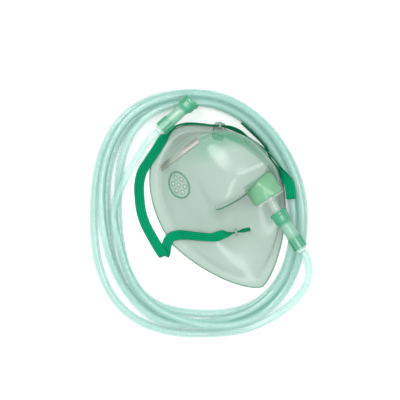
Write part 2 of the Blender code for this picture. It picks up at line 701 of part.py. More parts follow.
def main():
    clear_scene()
    parts = collection("oxygen_mask_parts")
    cutters = collection("cutters")
    frame = bpy.data.objects.new("mask_frame", None)
    parts.objects.link(frame)
    frame_matrix = Matrix.Translation(MASK_CENTRE) @ Matrix.Rotation(MASK_TURN, 4, "Z")
    frame.matrix_world = frame_matrix
    bpy.context.view_layer.update()

    vinyl = material("soft tinted vinyl", (0.45, 0.68, 0.55), 0.3, alpha=0.6)
    clear = material("clear styrene", (0.85, 0.92, 0.88), 0.1, alpha=0.5)
    aluminium = material("soft aluminium strip", (0.6, 0.58, 0.57), 0.4, metallic=1.0)
    elastic = material("woven elastic", (0.0, 0.38, 0.22), 0.8)
    tubing = material("tinted tubing vinyl", (0.5, 0.8, 0.67), 0.25)
    fitting_vinyl = material("soft fitting vinyl", (0.25, 0.7, 0.5), 0.3)

    shell = build_shell(parts, cutters, frame)
    places, _ = strap_stations(frame_matrix)
    to_mask = frame_matrix.inverted()
    left, right = (i for i, row in enumerate(STRAP_ROUTE) if row[4] == "tab")
    local = to_mask @ places[left]
    foot = float(shell_place(local.x, local.y)[0][2]) - 0.8 * MM
    add_tab(shell, cutters, "left_tab", places[left], places[left + 1] - places[left - 1], foot)
    add_tongue(shell, cutters, places[right], frame_matrix)
    add_tab(shell, cutters, "right_tab", places[right], places[right + 1] - places[right - 1],
            0.2 * MM)
    finish(shell, vinyl)

    finish(build_clip(parts, frame), aluminium)
    finish(build_adaptor(parts, frame), clear)
    finish(build_strap(parts, frame_matrix), elastic)

    start, axis = collar_frame()
    direction = frame_matrix.to_3x3() @ axis
    mouth = frame_matrix @ (start + axis * (COLLAR_MOUTH + TOUCH + FITTING_GAP))
    finish(build_fitting("mask_connector", mouth, direction, parts, cutters), fitting_vinyl)
    rear = mouth + direction * (FITTING_LENGTH + TOUCH)
    lead = [rear, rear + direction * 3 * MM, rear + direction * 9 * MM]
    lead += [from_layout(x, y, z) for x, y, z in MASK_LEAD]
    build_tube("tubing_lead_mask", lead, parts).data.materials.append(tubing)

    mouth = from_layout(*SUPPLY_MOUTH)
    rear = from_layout(*SUPPLY_REAR)
    direction = (rear - mouth).normalized()
    finish(build_fitting("supply_connector", mouth, direction, parts, cutters), fitting_vinyl)
    rear = mouth + direction * (FITTING_LENGTH + TOUCH)
    lead = [rear, rear + direction * 3 * MM, rear + direction * 8 * MM]
    lead += [from_layout(x, y, z) for x, y, z in SUPPLY_LEAD]
    build_tube("tubing_lead_supply", lead, parts).data.materials.append(tubing)

    finish(build_coil(parts), tubing)


main()
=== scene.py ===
"""The oxygen face mask, laid rim down inside its coiled tubing, dressed for its picture."""

import bpy
import numpy as np
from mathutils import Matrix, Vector
from mathutils.bvhtree import BVHTree


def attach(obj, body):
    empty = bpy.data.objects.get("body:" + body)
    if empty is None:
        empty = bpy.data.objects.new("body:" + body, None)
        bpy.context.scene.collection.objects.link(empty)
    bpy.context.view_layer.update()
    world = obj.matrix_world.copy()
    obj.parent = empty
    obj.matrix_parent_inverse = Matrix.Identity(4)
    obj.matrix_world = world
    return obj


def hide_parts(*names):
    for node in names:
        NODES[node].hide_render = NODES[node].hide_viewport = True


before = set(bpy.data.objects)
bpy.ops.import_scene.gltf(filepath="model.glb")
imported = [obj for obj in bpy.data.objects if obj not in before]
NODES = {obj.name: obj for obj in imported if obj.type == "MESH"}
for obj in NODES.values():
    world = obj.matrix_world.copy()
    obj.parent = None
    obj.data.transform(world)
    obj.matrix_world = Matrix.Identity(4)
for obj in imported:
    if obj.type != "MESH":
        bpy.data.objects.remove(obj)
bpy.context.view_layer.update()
MM = 0.001
UP = np.array([0.0, 0.0, 1.0])
# The part's frame is the coil's own layout moved by this much, in millimetres
LAYOUT_TO_PART = np.array([-9.797, -6.221, 0.0])


def linear(hex_colour):
    """An sRGB hex colour as the linear red, green, blue and one that a shader takes."""
    channels = [int(hex_colour[i:i + 2], 16) / 255 for i in (1, 3, 5)]
    return (*[c / 12.92 if c <= 0.04045 else ((c + 0.055) / 1.055) ** 2.4 for c in channels], 1.0)


def add_node(tree, kind, settings=None, numbered=None, **named):
    """Adds a shader node with its settings and links. Each of its inputs, by number or by
    name, takes another node's socket or a value."""
    node = tree.nodes.new(kind)
    for name, value in (settings or {}).items():
        setattr(node, name, value)
    inputs = {name.replace("_", " "): source for name, source in named.items()}
    for key, source in {**(numbered or {}), **inputs}.items():
        if isinstance(source, bpy.types.NodeSocket):
            tree.links.new(source, node.inputs[key])
        else:
            node.inputs[key].default_value = source
    return node


def new_material(name):
    """An empty node material with its output, as (material, tree, output)."""
    material = bpy.data.materials.new(name)
    material.use_nodes = True
    tree = material.node_tree
    tree.nodes.clear()
    return material, tree, tree.nodes.new("ShaderNodeOutputMaterial")


def mesh_piece(name, points, faces, *materials, uv=None, shares=None, kinds=None):
    """A piece of the part from its points in millimetres, with its place in its mesh. It may
    carry a UV map, a number from 0 to 1 for each point that sets how much painted shade it
    gets, and which material each face has."""
    mesh = bpy.data.meshes.new(name)
    mesh.from_pydata((np.asarray(points, float).reshape(-1, 3) * MM).tolist(), [], faces)
    if uv is not None:
        layer = mesh.uv_layers.new(name="along")
        corner = np.empty(len(mesh.loops), int)
        mesh.loops.foreach_get("vertex_index", corner)
        layer.data.foreach_set("uv", np.asarray(uv, float).reshape(-1, 2)[corner].ravel())
    if shares is not None:
        # painted shade: each point's share of it, kept in the attribute depth
        layer = mesh.attributes.new("depth", "FLOAT", "POINT")
        layer.data.foreach_set("value", np.asarray(shares, float).ravel())
    mesh.polygons.foreach_set("use_smooth", [True] * len(mesh.polygons))
    for material in materials:
        mesh.materials.append(material)
    if kinds is not None:
        mesh.polygons.foreach_set("material_index", kinds)
    mesh.validate()
    piece = bpy.data.objects.new(name, mesh)
    bpy.context.scene.collection.objects.link(piece)
    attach(piece, "root")
    return piece


def grid_faces(rows, columns, wrap_rows=False, wrap_columns=False):
    """Quads between neighbours of a rows by columns grid of points."""
    row = np.arange(rows if wrap_rows else rows - 1)
    column = np.arange(columns if wrap_columns else columns - 1)
    i, j = np.meshgrid(row, column, indexing="ij")
    below, right = (i + 1) % rows, (j + 1) % columns
    quads = np.stack([i * columns + j, i * columns + right,
                      below * columns + right, below * columns + j], axis=-1)
    return quads.reshape(-1, 4).tolist()


def through_rows(rows, keys, at):
    """Smooth curve through rows of numbers: a cubic in each span between keys, whose slopes
    come from the neighbouring rows, read at the places given."""
    rows, keys = np.asarray(rows, float), np.asarray(keys, float)
    slopes = np.gradient(rows, keys, axis=0)
    i = np.clip(np.searchsorted(keys, at, side="right") - 1, 0, len(keys) - 2)
    span = (keys[i + 1] - keys[i])[:, None]
    t = (at - keys[i])[:, None] / span
    return ((2 * t**3 - 3 * t**2 + 1) * rows[i] + (t**3 - 2 * t**2 + t) * span * slopes[i]
            + (3 * t**2 - 2 * t**3) * rows[i + 1] + (t**3 - t**2) * span * slopes[i + 1])


def unit(vectors):
    """Vectors as directions: each over its length."""
    return vectors / np.linalg.norm(vectors, axis=-1, keepdims=True)


def circle(radius, count):
    """Points of a flat circle: its radius times the cosine and sine of each turn."""
    turn = np.linspace(0, 2 * np.pi, count, endpoint=False)
    return np.stack([np.cos(turn), np.sin(turn)], axis=1) * radius


def squared_oval(count, power):
    """A unit circle pulled towards a square: cosine and sine times the reach at which
    their sizes, each raised to the power, add up to one."""
    c, s = circle(1.0, count).T
    reach = (np.abs(c) ** power + np.abs(s) ** power) ** (-1 / power)
    return (c * reach)[:, None], (s * reach)[:, None]


def tangents(normal):
    """Two unit directions square to a normal and to each other."""
    first = unit(np.cross(UP, normal))
    return first, np.cross(normal, first)


def run_along(line):
    """How far along a line each of its points lies, from nought at its first."""
    return np.concatenate([[0], np.cumsum(np.linalg.norm(np.diff(line, axis=0), axis=1))])


def even_steps(line, step):
    """Points about one step apart along a line of close points."""
    run = run_along(line)
    at = np.linspace(0, run[-1], int(run[-1] / step) + 1)
    return np.stack([np.interp(at, run, line[:, k]) for k in range(line.shape[1])], axis=1)


# Camera, straight over the part, in metres: 280 mm of table across the frame
VIEW_CENTRE = (-9.797 * MM, 2.879 * MM)
VIEW_HEIGHT = 1.8
VIEW_WIDTH = 0.280
VIEW_END = 20.0      # past which nothing is seen
SENSOR_WIDTH = 36.0  # in millimetres, as the lens is


def set_camera():
    """A long lens high over the table, so that tall pieces hardly lean outwards."""
    camera = bpy.data.objects.new("camera", bpy.data.cameras.new("camera"))
    bpy.context.scene.collection.objects.link(camera)
    camera.data.sensor_width = SENSOR_WIDTH
    camera.data.lens = SENSOR_WIDTH * VIEW_HEIGHT / VIEW_WIDTH
    camera.data.clip_end = VIEW_END
    camera.location = (*VIEW_CENTRE, VIEW_HEIGHT)
    bpy.context.scene.camera = camera


# The hose, in millimetres as every piece is
TUBE_RADIUS = 3.1
TUBE_BORE = 2.0      # radius of the bore
TUBE_SIDES = 18
TUBE_STEP = 2.4      # between its rings of points
TABLE_GAP = 0.03     # under a strand that lies on the table

# The coil's outer outline, from its layout's centre, is an oval whose four quarters are
# more or less square, from the upper right one anticlockwise. A strand lies at a depth in
# from it.
OUTLINE_CENTRE = (0.6, 0.0)
OUTLINE_AXES = (76.0, 87.6)
OUTLINE_SQUARENESS = (1.8, 2.7, 2.6, 2.6)
START_ANGLE = 341.0  # degrees, where the travel along the strands is zero
COIL_POINTS = 1500
EASE_POINTS = 45     # of them, the window that eases the corners between quarters

# Where the hose leaves its two fittings, in the part's frame, and which way it points there
MASK_END = (61.10, -32.52, 23.5)
MASK_AXIS = (0.5358, -0.8443, 0.0)
SUPPLY_END = (-38.54, 50.44, 17.6)
SUPPLY_AXIS = (-0.7382, -0.6730, -0.0465)
# Its way down from the first onto the coil, and from the coil up to the second
LEAD_DOWN = ((64.7, -39.7, 22.9), (65.7, -47.1, 21.5), (64.4, -54.4, 18.8), (60.2, -61.9, 14.3))
LEAD_UP = ((-66.2, 8.1, 10.8), (-60.0, 20.9, 13.9), (-52.4, 33.7, 16.2))
STRAIGHT_OUT = 3.0   # how far out on the first fitting's axis the hose still lies
STRAIGHT_BACK = (8.0, 3.0)  # and from how far out it lies on the second's
LEAD_POINTS = 160
LEAD_LAP = 24        # of the coil's points, that a lead runs along before they take over

# One strand after another from the mask's fitting round to the supply fitting: degrees
# travelled clockwise from the start, depth in from the outline, height of the middle.
STRAND_ROWS = (
    # lands as the outermost strand, and swings out from the others at the lower left
    (50, 3.4, 6.0), (66, 3.1, 3.2), (85, 3.1, 3.1), (105, 2.2, 3.1), (135, 0.6, 3.1),
    (165, 0.9, 3.1), (200, 2.2, 3.1), (250, 3.2, 3.1), (300, 3.2, 3.1), (335, 3.2, 3.1),
    # second turn, next to it on the table
    (365, 5.0, 3.1), (395, 9.4, 3.1), (425, 10.0, 3.1), (450, 11.6, 3.1), (475, 12.9, 3.1),
    (500, 11.4, 3.1), (525, 9.4, 3.1), (560, 9.4, 3.1), (610, 9.5, 3.1), (660, 9.5, 3.1),
    (695, 9.5, 3.1),
    # third turn, innermost, which then climbs onto the second
    (725, 11.5, 3.1), (755, 15.9, 3.1), (785, 16.9, 3.1), (812, 18.3, 3.1), (836, 19.2, 3.1),
    (860, 18.8, 3.1), (885, 17.8, 3.1), (908, 16.8, 4.2), (930, 14.2, 8.2), (955, 10.2, 9.4),
    (980, 9.5, 9.35), (1000, 9.5, 9.35), (1020, 9.6, 9.3), (1040, 10.6, 9.2), (1062, 11.2, 9.1),
    # fourth turn, on top, moving outwards under the fifth
    (1085, 11.0, 9.2), (1110, 13.4, 8.6), (1132, 13.0, 8.5), (1150, 10.2, 9.3), (1172, 8.6, 9.2),
    (1195, 12.0, 9.3), (1220, 9.8, 9.0), (1245, 5.8, 8.0), (1280, 6.2, 8.2), (1312, 4.4, 9.1),
    (1340, 3.4, 9.3), (1380, 3.5, 9.3), (1408, 4.9, 9.1),
    # fifth turn, over the fourth in a long low hump and on to the supply fitting
    (1436, 4.6, 9.2), (1462, 6.8, 8.9), (1480, 7.4, 9.6), (1500, 8.0, 13.4), (1514, 10.6, 15.6),
    (1530, 14.6, 13.2), (1550, 18.6, 9.5), (1575, 19.0, 9.3), (1600, 15.2, 8.5),
)


def outline_place(degrees):
    """Where a ray at this turn meets the coil's outline: the point whose two offsets from
    the centre, each as a share of its axis and raised to the quarter's squareness, add up
    to one."""
    angle = np.radians(degrees)
    c, s = np.cos(angle), np.sin(angle)
    quarter = np.floor(np.mod(degrees, 360) / 90).astype(int) % 4
    power = np.array(OUTLINE_SQUARENESS)[quarter]
    reach = (np.abs(c) ** power + np.abs(s) ** power) ** (-1 / power)
    return np.stack([OUTLINE_CENTRE[0] + OUTLINE_AXES[0] * c * reach,
                     OUTLINE_CENTRE[1] + OUTLINE_AXES[1] * s * reach], axis=-1)


def coil_line():
    """Middle line of the coiled strands: the outline's point at each turn, moved in square
    to the outline by the strand's depth, and lifted to its height. Its plan is then a
    running mean under a bell-shaped window, so that the strands bend evenly."""
    rows = np.array(STRAND_ROWS)
    turned = np.linspace(rows[0, 0], rows[-1, 0], COIL_POINTS)
    depth, height = through_rows(rows[:, 1:], rows[:, 0], turned).T
    height = np.maximum(height, TUBE_RADIUS + TABLE_GAP)
    degrees = START_ANGLE - turned
    edge = outline_place(degrees)
    ahead = unit(outline_place(degrees - 0.5) - outline_place(degrees + 0.5))
    inward = np.stack([ahead[:, 1], -ahead[:, 0]], axis=1)
    plan = edge + inward * depth[:, None]
    window = np.hanning(EASE_POINTS)
    window /= window.sum()
    margin = EASE_POINTS // 2
    padded = np.pad(plan, ((margin, margin), (0, 0)), mode="reflect", reflect_type="odd")
    plan = np.stack([np.convolve(padded[:, k], window, "valid") for k in (0, 1)], axis=1)
    return np.column_stack([plan, height]) + LAYOUT_TO_PART


def tubing_line():
    """The whole tubing from fitting to fitting: straight out of the first, down onto the
    coil, round it, and up into the second."""
    coil = coil_line()
    start, out = np.array(MASK_END), np.array(MASK_AXIS)
    end, back = np.array(SUPPLY_END), np.array(SUPPLY_AXIS)
    lap, half = LEAD_LAP, LEAD_LAP // 2
    first = [start, start + out * STRAIGHT_OUT, *LEAD_DOWN, *coil[[0, half, lap]]]
    last = [*coil[[-lap, -half, -1]], *LEAD_UP, *[end + back * far for far in STRAIGHT_BACK], end]
    leads = []
    for rows in (first, last):
        rows = np.array(rows)
        run = run_along(rows)
        leads.append(through_rows(rows, run, np.linspace(0, run[-1], LEAD_POINTS)))
    coil = coil[lap + 1:-lap - 1]
    return even_steps(np.concatenate([leads[0], coil, leads[1]]), TUBE_STEP)


def tube_shell(line, outer, bore, sides):
    """Open-ended hose: round each point of the line a circle square to it, a larger ring of
    points outside and a smaller one for the bore, closed by flat ends. Gives its points,
    its faces, and 1 for each face of the bore with 0 for the others."""
    ahead = unit(np.gradient(line, axis=0))
    side = unit(np.cross(UP, ahead))
    rise = np.cross(ahead, side)
    turn = circle(1.0, sides)
    ring = side[:, None] * turn[:, :1] + rise[:, None] * turn[:, 1:]
    walls = [line[:, None] + ring * outer, (line[:, None] + ring * bore)[:, ::-1]]
    points = np.concatenate(walls, axis=1)
    rows, columns = points.shape[:2]
    faces = []
    for first in (0, sides):
        block = np.array(grid_faces(rows, sides, wrap_columns=True))
        faces += (block // sides * columns + block % sides + first).tolist()
    i = np.arange(sides)
    j = (i + 1) % sides
    near = np.stack([j, i, 2 * sides - 1 - i, 2 * sides - 1 - j], axis=1)
    faces += near.tolist() + (near[:, ::-1] + (rows - 1) * columns).tolist()
    kinds = [0] * ((rows - 1) * sides) + [1] * ((rows - 1) * sides) + [0] * (2 * sides)
    return points.reshape(-1, 3), faces, kinds


def closed_tube(path, radius, sides, up=UP, stretch=1.0):
    """A ring along a closed path: round each of its points an oval square to it, as wide as
    the radius and stretched along the direction given as up."""
    ahead = unit(np.roll(path, -1, axis=0) - np.roll(path, 1, axis=0))
    side = unit(np.cross(up, ahead))
    rise = np.cross(ahead, side)
    turn = circle(1.0, sides)
    oval = side[:, None] * turn[:, :1] + rise[:, None] * turn[:, 1:] * stretch
    points = path[:, None] + oval * radius
    return points.reshape(-1, 3), grid_faces(len(path), sides, True, True)


# The mask shell is a loft through closed sections, from the rim up to the crown, in
# millimetres in the mask's own frame: u runs from nose to chin, v to the side that the
# crown leans to, its right. Each row has a section's centre, its reaches to nose, chin,
# left and right, its heights there, how square its quarters are at nose left, nose right,
# chin left and chin right, and its chin's lean to the left.
MASK_PLACE = np.array([-1.397, -2.721, 0.0])  # of that frame in the part's
MASK_TURN = np.radians(-53.6)
CROWN = (-8.0, 27.0, 40.6)
ABOVE = 90.0         # a height over the crown that lines are dropped from
RIM = (1.1, 1.1, 1.1, 1.1)
CHIN_SHARING = 2.8   # the power of the sine that shares the heights out on the chin's side
SHELL_SECTIONS = (
    ((4, 9), (64, 61, 46, 44.5), RIM, (2.0, 1.8, 1.35, 1.5), 13),
    ((4, 9), (62.4, 59.4, 44.4, 43), RIM, (2.0, 1.8, 1.35, 1.5), 13),
    ((4, 9), (60.2, 57.2, 42.2, 41), RIM, (2.0, 1.8, 1.37, 1.5), 12.5),
    ((4, 9), (57.8, 54.8, 40, 39), RIM, (2.0, 1.8, 1.4, 1.5), 12),
    ((4, 9.5), (55.2, 51.5, 38, 38.2), (3.0, 2.2, 2.2, 4.0), (2.0, 1.9, 1.5, 1.7), 11),
    ((3, 12), (52, 47, 37, 38.5), (12, 5.0, 5.0, 12.5), (2.1, 2.0, 1.8, 1.85), 8),
    ((1, 16), (47.5, 36, 33.5, 36), (22, 7.0, 10, 19.8), (2.2, 2.2, 2.2, 1.92), 4),
    ((-1, 22), (42, 20, 32, 30.5), (30, 8.2, 18, 28.0), (2.3, 2.3, 2.4, 2.1), 0),
    ((-4, 27), (36, 10.8, 28, 24.5), (34.5, 10.5, 27, 32), (2.3, 2.3, 2.7, 2.1), 0),
    ((-6, 27.5), (31, 11.6, 24.5, 23), (37, 24, 33, 35), (2.3, 2.3, 3.0, 2.15), 0),
    ((-7, 27.5), (26.5, 11.8, 21.5, 21), (38.8, 36.5, 36.5, 37.3), (2.3, 2.3, 3.2, 2.3), 0),
    ((-7, 27.5), (20, 8.0, 16, 16.5), (39.8, 39, 38.8, 38.9), (2.3, 2.3, 2.6, 2.4), 0),
    ((-8, 27), (10, 4, 8, 9), (40.4, 40.2, 40.2, 40.2), (2.2, 2.2, 2.2, 2.2), 0),
    ((-8, 27), (0, 0, 0, 0), (40.6, 40.6, 40.6, 40.6), (2.0, 2.0, 2.0, 2.0), 0),
)


def to_part(points):
    """Places in the mask's own frame, in millimetres, as places in the part's frame."""
    points = np.asarray(points, float)
    c, s = np.cos(MASK_TURN), np.sin(MASK_TURN)
    return points @ np.array([[c, s, 0], [-s, c, 0], [0, 0, 1]]) + MASK_PLACE


def shell_section(section, turns):
    """One closed section: in each quarter the reach times cosine and sine, each raised to 2
    over how square the quarter is. The heights are shared by the square of the sine, and
    by a higher power of it on the chin's side."""
    (centre_u, centre_v), (nose, chin, left, right), heights, squareness, lean = section
    along, across = np.cos(turns), np.sin(turns)
    to_chin, to_right = along > 0, across > 0
    power = 2 / np.select([to_chin & to_right, to_chin, to_right],
                          [squareness[3], squareness[2], squareness[1]], squareness[0])
    u = centre_u + np.where(to_chin, chin, nose) * np.sign(along) * np.abs(along) ** power
    v = centre_v + np.where(to_right, right, left) * np.sign(across) * np.abs(across) ** power
    v = v - lean * np.where(to_chin, along, 0) ** 2
    sideways = np.where(to_chin, np.abs(across) ** CHIN_SHARING, across**2)
    z = (np.where(to_chin, heights[1], heights[0]) * (1 - sideways)
         + np.where(to_right, heights[3], heights[2]) * sideways)
    return np.stack([u, v, z], axis=-1)


def spline_weights(levels, count):
    """Weights of a clamped cubic B-spline with this many control rows, a row for each level:
    from one degree to the next, w = (t - k) / span w + (k' - t) / span' w'."""
    knots = np.concatenate([[0] * 3, np.linspace(0, 1, count - 2), [1] * 3])
    t = np.clip(levels, 0, 1 - 1e-9)[:, None]
    weights = ((knots[:-1] <= t) & (t < knots[1:])).astype(float)
    for degree in (1, 2, 3):
        size = len(knots) - degree - 1
        first, last = knots[:size], knots[degree + 1:]
        low, high = knots[degree:degree + size] - first, last - knots[1:size + 1]
        rise = np.divide(t - first, low, out=np.zeros((len(t), size)), where=low > 0)
        fall = np.divide(last - t, high, out=np.zeros((len(t), size)), where=high > 0)
        weights = rise * weights[:, :-1] + fall * weights[:, 1:]
    return weights


def shell_grid(levels, turns):
    """Places on the shell's outer face, in the part's frame: the sections' B-spline."""
    rows = np.stack([shell_section(section, turns) for section in SHELL_SECTIONS])
    return to_part(np.tensordot(spline_weights(levels, len(rows)), rows, axes=1))


def surface_normals(grid):
    """Unit normals of a grid of places that closes round its columns, pointing outwards."""
    around = np.roll(grid, -1, axis=1) - np.roll(grid, 1, axis=1)
    normal = np.cross(around, np.gradient(grid, axis=0))
    return normal / np.maximum(np.linalg.norm(normal, axis=-1, keepdims=True), 1e-9)


def band_along(rows, width, thickness, cords, step):
    """A woven band: a closed section carried along the route, whose rows each give a place
    and the direction of the band's width. Across the band, from -1 to 1, half its thickness
    is shared between a flat part and half sines, one for each rubber cord, times the root
    of one less the eighth power of the distance from its middle."""
    rows = np.asarray(rows, float)
    run = run_along(rows[:, :3])
    rows = through_rows(rows, run, np.linspace(0, run[-1], int(run[-1] / step)))
    middle, side = rows[:, :3], rows[:, 3:]
    run = run_along(middle)
    ahead = unit(np.gradient(middle, axis=0))
    side = unit(side - (side * ahead).sum(1, keepdims=True) * ahead)
    out = np.cross(ahead, side)
    across = np.linspace(-1, 1, cords * CORD_POINTS + 1)
    bulge = np.abs(np.sin((across + 1) * np.pi * cords / 2))
    shape = FLAT_SHARE + (1 - FLAT_SHARE) * bulge
    half = thickness / 2 * shape * np.sqrt(np.clip(1 - across**8, 0.1, 1))
    section = np.concatenate([np.stack([across * width / 2, half], 1),
                              np.stack([across * width / 2, -half], 1)[::-1]])
    points = (middle[:, None] + side[:, None] * section[:, :1]
              + out[:, None] * section[:, 1:])
    count, around = points.shape[:2]
    faces = grid_faces(count, around, wrap_columns=True)
    faces += [list(range(around))[::-1], list(range((count - 1) * around, count * around))]
    uv = np.stack(np.broadcast_arrays(section[None, :, 0], run[:, None]), axis=-1) * MM
    return points.reshape(-1, 3), faces, uv.reshape(-1, 2)


def joined(*shapes):
    """Several (points, faces) as one."""
    points, faces = [], []
    for some, corners in shapes:
        start = sum(len(p) for p in points)
        faces += [[start + k for k in face] for face in corners]
        points.append(np.asarray(some, float).reshape(-1, 3))
    return np.concatenate(points), faces


# The vents: a raised ring in each cheek round a disc with seven small holes. The left one's
# place is in the mask's own frame. The right one's is a turn and a level of the shell,
# because the shell overhangs there.
VENT_RADIUS = 9.45
VENT_POINTS = 96       # round it
VENT_RING = 0.6        # radius of the ring's rod, and how much taller than wide it is
VENT_RING_STRETCH = 1.15
OUTER_HOLES = 6
VENT_CIRCLE = 5.5      # radius of the circle through their middles
VENT_HOLE = 1.35       # radius
HOLE_POINTS = 24       # round it
VENT_LIP = 0.26        # radius of the rod round a hole
VENT_LIP_SHIFT = 0.12  # of that rod's middle from the hole's edge, and over the shell
VENT_STEP = 0.36       # of the disc's grid
VENT_SNAP = 0.6        # of a step, within which its points move onto a circle
DISC_LIFT, RING_LIFT = 0.03, 0.25  # over the shell
DROP_FROM, DROP_REACH = 5.0, 12.0
LEFT_VENT = (-26.5, -9.0)
RIGHT_VENT_TURN = np.radians(110)
RIGHT_VENT_LEVEL = 0.45


def vent_places(tree):
    """(place, outward normal) of the two vents on the shell's outer face."""
    place, normal, _, _ = tree.ray_cast(Vector(to_part((*LEFT_VENT, ABOVE))), Vector(-UP))
    normal = np.array(normal) * np.sign(normal.z)
    nudges = np.array([-1e-3, 0, 1e-3])
    near = shell_grid(RIGHT_VENT_LEVEL + nudges, RIGHT_VENT_TURN + nudges)
    other = unit(np.cross(near[1, 2] - near[1, 0], near[2, 1] - near[0, 1]))
    return (np.array(place), normal), (near[1, 1], other)


def vent_shapes(tree, place, normal):
    """(disc, trim) of a vent. The disc is a fine square grid, whose points close to a hole's
    edge or to the rim are moved onto that circle and whose faces inside a hole are left
    out, let down along the normal onto the shell. The trim is its ring and the holes' lips,
    round rods let down in the same way."""
    first, second = tangents(normal)

    def let_down(flat, lift):
        found = []
        for x, y in flat:
            start = place + first * x + second * y
            drop = Vector(start + normal * DROP_FROM), Vector(-normal), DROP_REACH
            hit = tree.ray_cast(*drop)[0]
            found.append((start if hit is None else np.array(hit)) + normal * lift)
        return np.array(found)

    step = VENT_STEP
    side = np.arange(-VENT_RADIUS - step, VENT_RADIUS + 1.5 * step, step)
    flat = np.stack(np.meshgrid(side, side, indexing="ij"), axis=-1).reshape(-1, 2)
    holes = np.concatenate([[[0.0, 0.0]], circle(VENT_CIRCLE, OUTER_HOLES)])
    for middle, radius in [((0.0, 0.0), VENT_RADIUS)] + [(h, VENT_HOLE) for h in holes]:
        out = flat - middle
        far = np.linalg.norm(out, axis=1)
        close = np.abs(far - radius) < VENT_SNAP * step
        flat[close] = middle + out[close] / far[close, None] * radius
    faces = np.array(grid_faces(len(side), len(side)))
    centres = flat[faces].mean(axis=1)
    keep = np.linalg.norm(centres, axis=1) < VENT_RADIUS
    for middle in holes:
        keep &= np.linalg.norm(centres - middle, axis=1) > VENT_HOLE
    disc = let_down(flat, DISC_LIFT), faces[keep].tolist()
    rim = let_down(circle(VENT_RADIUS, VENT_POINTS), RING_LIFT)
    lip = circle(VENT_HOLE + VENT_LIP_SHIFT, HOLE_POINTS)
    lips = [let_down(lip + middle, VENT_LIP_SHIFT) for middle in holes]
    return disc, joined(closed_tube(rim, VENT_RING, 12, normal, VENT_RING_STRETCH),
                        *[closed_tube(lip, VENT_LIP, 8, normal) for lip in lips])


# The inlet collar lies along the mask. Its middle is in the mask's own frame, its turn is
# from that frame's u, and its half section goes round its wall as radius and place along
# its axis, a place that is the middle's own u in the middle.
COLLAR_MIDDLE = np.array([9.9, 36.2, 23.5])
COLLAR_YAW = np.radians(-4.0)
COLLAR_SIDES = 96
COLLAR_SECTION = np.array((
    (10.0, 2.0), (10.8, 1.9), (11.6, 2.4), (11.6, 9.0), (11.6, 16.6),
    (11.45, 17.3), (11.0, 17.7), (10.5, 17.7), (10.1, 17.3), (10.0, 9.0),
))


def collar_shape():
    """The inlet collar, a thick-walled cup: its half section turned round its axis."""
    axis = np.array([np.cos(COLLAR_YAW), np.sin(COLLAR_YAW), 0.0])
    start = COLLAR_MIDDLE - axis * COLLAR_MIDDLE[0]
    turn = circle(1.0, COLLAR_SIDES)
    first, second = tangents(axis)
    out = turn[:, :1] * first + turn[:, 1:] * second
    points = start + out[:, None] * COLLAR_SECTION[:, :1] + axis * COLLAR_SECTION[:, 1:]
    return to_part(points.reshape(-1, 3)), grid_faces(*points.shape[:2], True, True)


# The ear tabs: an upright loop at either end of the strap's way over the mask, each with
# the row of the strap's route that it stands at, its lift over that and half its height.
# A flat tongue from the rim carries the second.
EAR_TABS = (("left", 2, 0.0, 4.65), ("right", 29, 0.35, 4.35))
TAB_ROD = 0.85          # radius
TAB_HALF_WIDTH = 1.95
TAB_POINTS, TAB_POWER = 48, 5
TONGUE_AIM = (-20.0, 14.0, 0.0)     # in the mask's own frame
TONGUE_INWARD = 3.9                 # from the tab to the tongue's middle
TONGUE_HALF_SIZE = (6.4, 4.4)
TONGUE_POINTS, TONGUE_POWER = 64, 4
TONGUE_RINGS = ((0.95, 0.05), (1.0, 0.3), (1.0, 0.8), (0.96, 1.1), (0.5, 1.12), (0.02, 1.12))


def tab_loop(place, along, half_height):
    """An ear tab's loop: a round rod carried round a squared oval, which stands square to
    the strap that runs through it."""
    along = unit(along * (1, 1, 0))
    wide, tall = squared_oval(TAB_POINTS, TAB_POWER)
    path = place + np.cross(UP, along) * wide * TAB_HALF_WIDTH + UP * tall * half_height
    return closed_tube(path, TAB_ROD, 12, along)


def tongue_shape(tab):
    """The flat tongue: rings of a squared oval, each with its share of the full size and
    its height, which shrink as they rise and close at its top."""
    inward = unit((to_part(TONGUE_AIM) - tab) * (1, 1, 0))
    across = np.cross(UP, inward)
    middle = tab * (1, 1, 0) + inward * TONGUE_INWARD
    long, wide = squared_oval(TONGUE_POINTS, TONGUE_POWER)
    oval = inward * long * TONGUE_HALF_SIZE[0] + across * wide * TONGUE_HALF_SIZE[1]
    rings = [middle + oval * share + UP * height for share, height in TONGUE_RINGS]
    return np.concatenate(rings), grid_faces(len(rings), len(oval), wrap_columns=True)


# The shell's sheet, and its painted shade: steep walls are painted a darker green, a darker
# band is painted along the crown's upper edge, and there is less painted shade round the collar.
SHEET_TURNS = 480
SHEET_LEVELS = 150
LAST_LEVEL = 0.9985      # of the ring that the fan at the crown starts from
LEAST_TILT = 0.12        # the normal's height on the steepest wall that is told apart
DEEPEST_PATH = 6.5       # wall thicknesses that a line straight down passes where it is deepest
# The painted darker band and the part with less painted shade, each with the turn of its
# middle, how much is cut off its cosine, and how much painted shade it adds or takes. The
# band comes and goes between levels.
LOBE_STEEPNESS = 1.6
SHADE_BAND_TURN, SHADE_BAND_CUT, SHADE_BAND_WEIGHT = np.radians(145), 0.35, 1.05
SHADE_BAND_LEVELS = (0.45, 0.57, 0.83, 0.91)
LESS_SHADE_TURN, LESS_SHADE_CUT, LESS_SHADE_WEIGHT = np.radians(55), 0.2, 0.6
RIM_BEAD = 0.55          # radius
RIM_BEAD_HEIGHT = 0.57
RIM_POINTS = 360
# The crease over the step face, as places in the mask's own frame
CREASE_PLACES = ((2.6, 1.8), (4.0, 5.0), (5.0, 10.0), (5.7, 15.0), (6.1, 20.0), (6.2, 26.0))
CREASE_RADIUS, CREASE_BORE, CREASE_LIFT, CREASE_POINTS = 0.5, 0.12, 0.1, 60
# How much painted shade, in the same darker green, the smaller pieces get, from 0 to 1
RIM_SHADE, CREASE_SHADE, DISC_SHADE, TRIM_SHADE, TAB_SHADE = 0.9, 1.0, 0.2, 0.75, 0.0


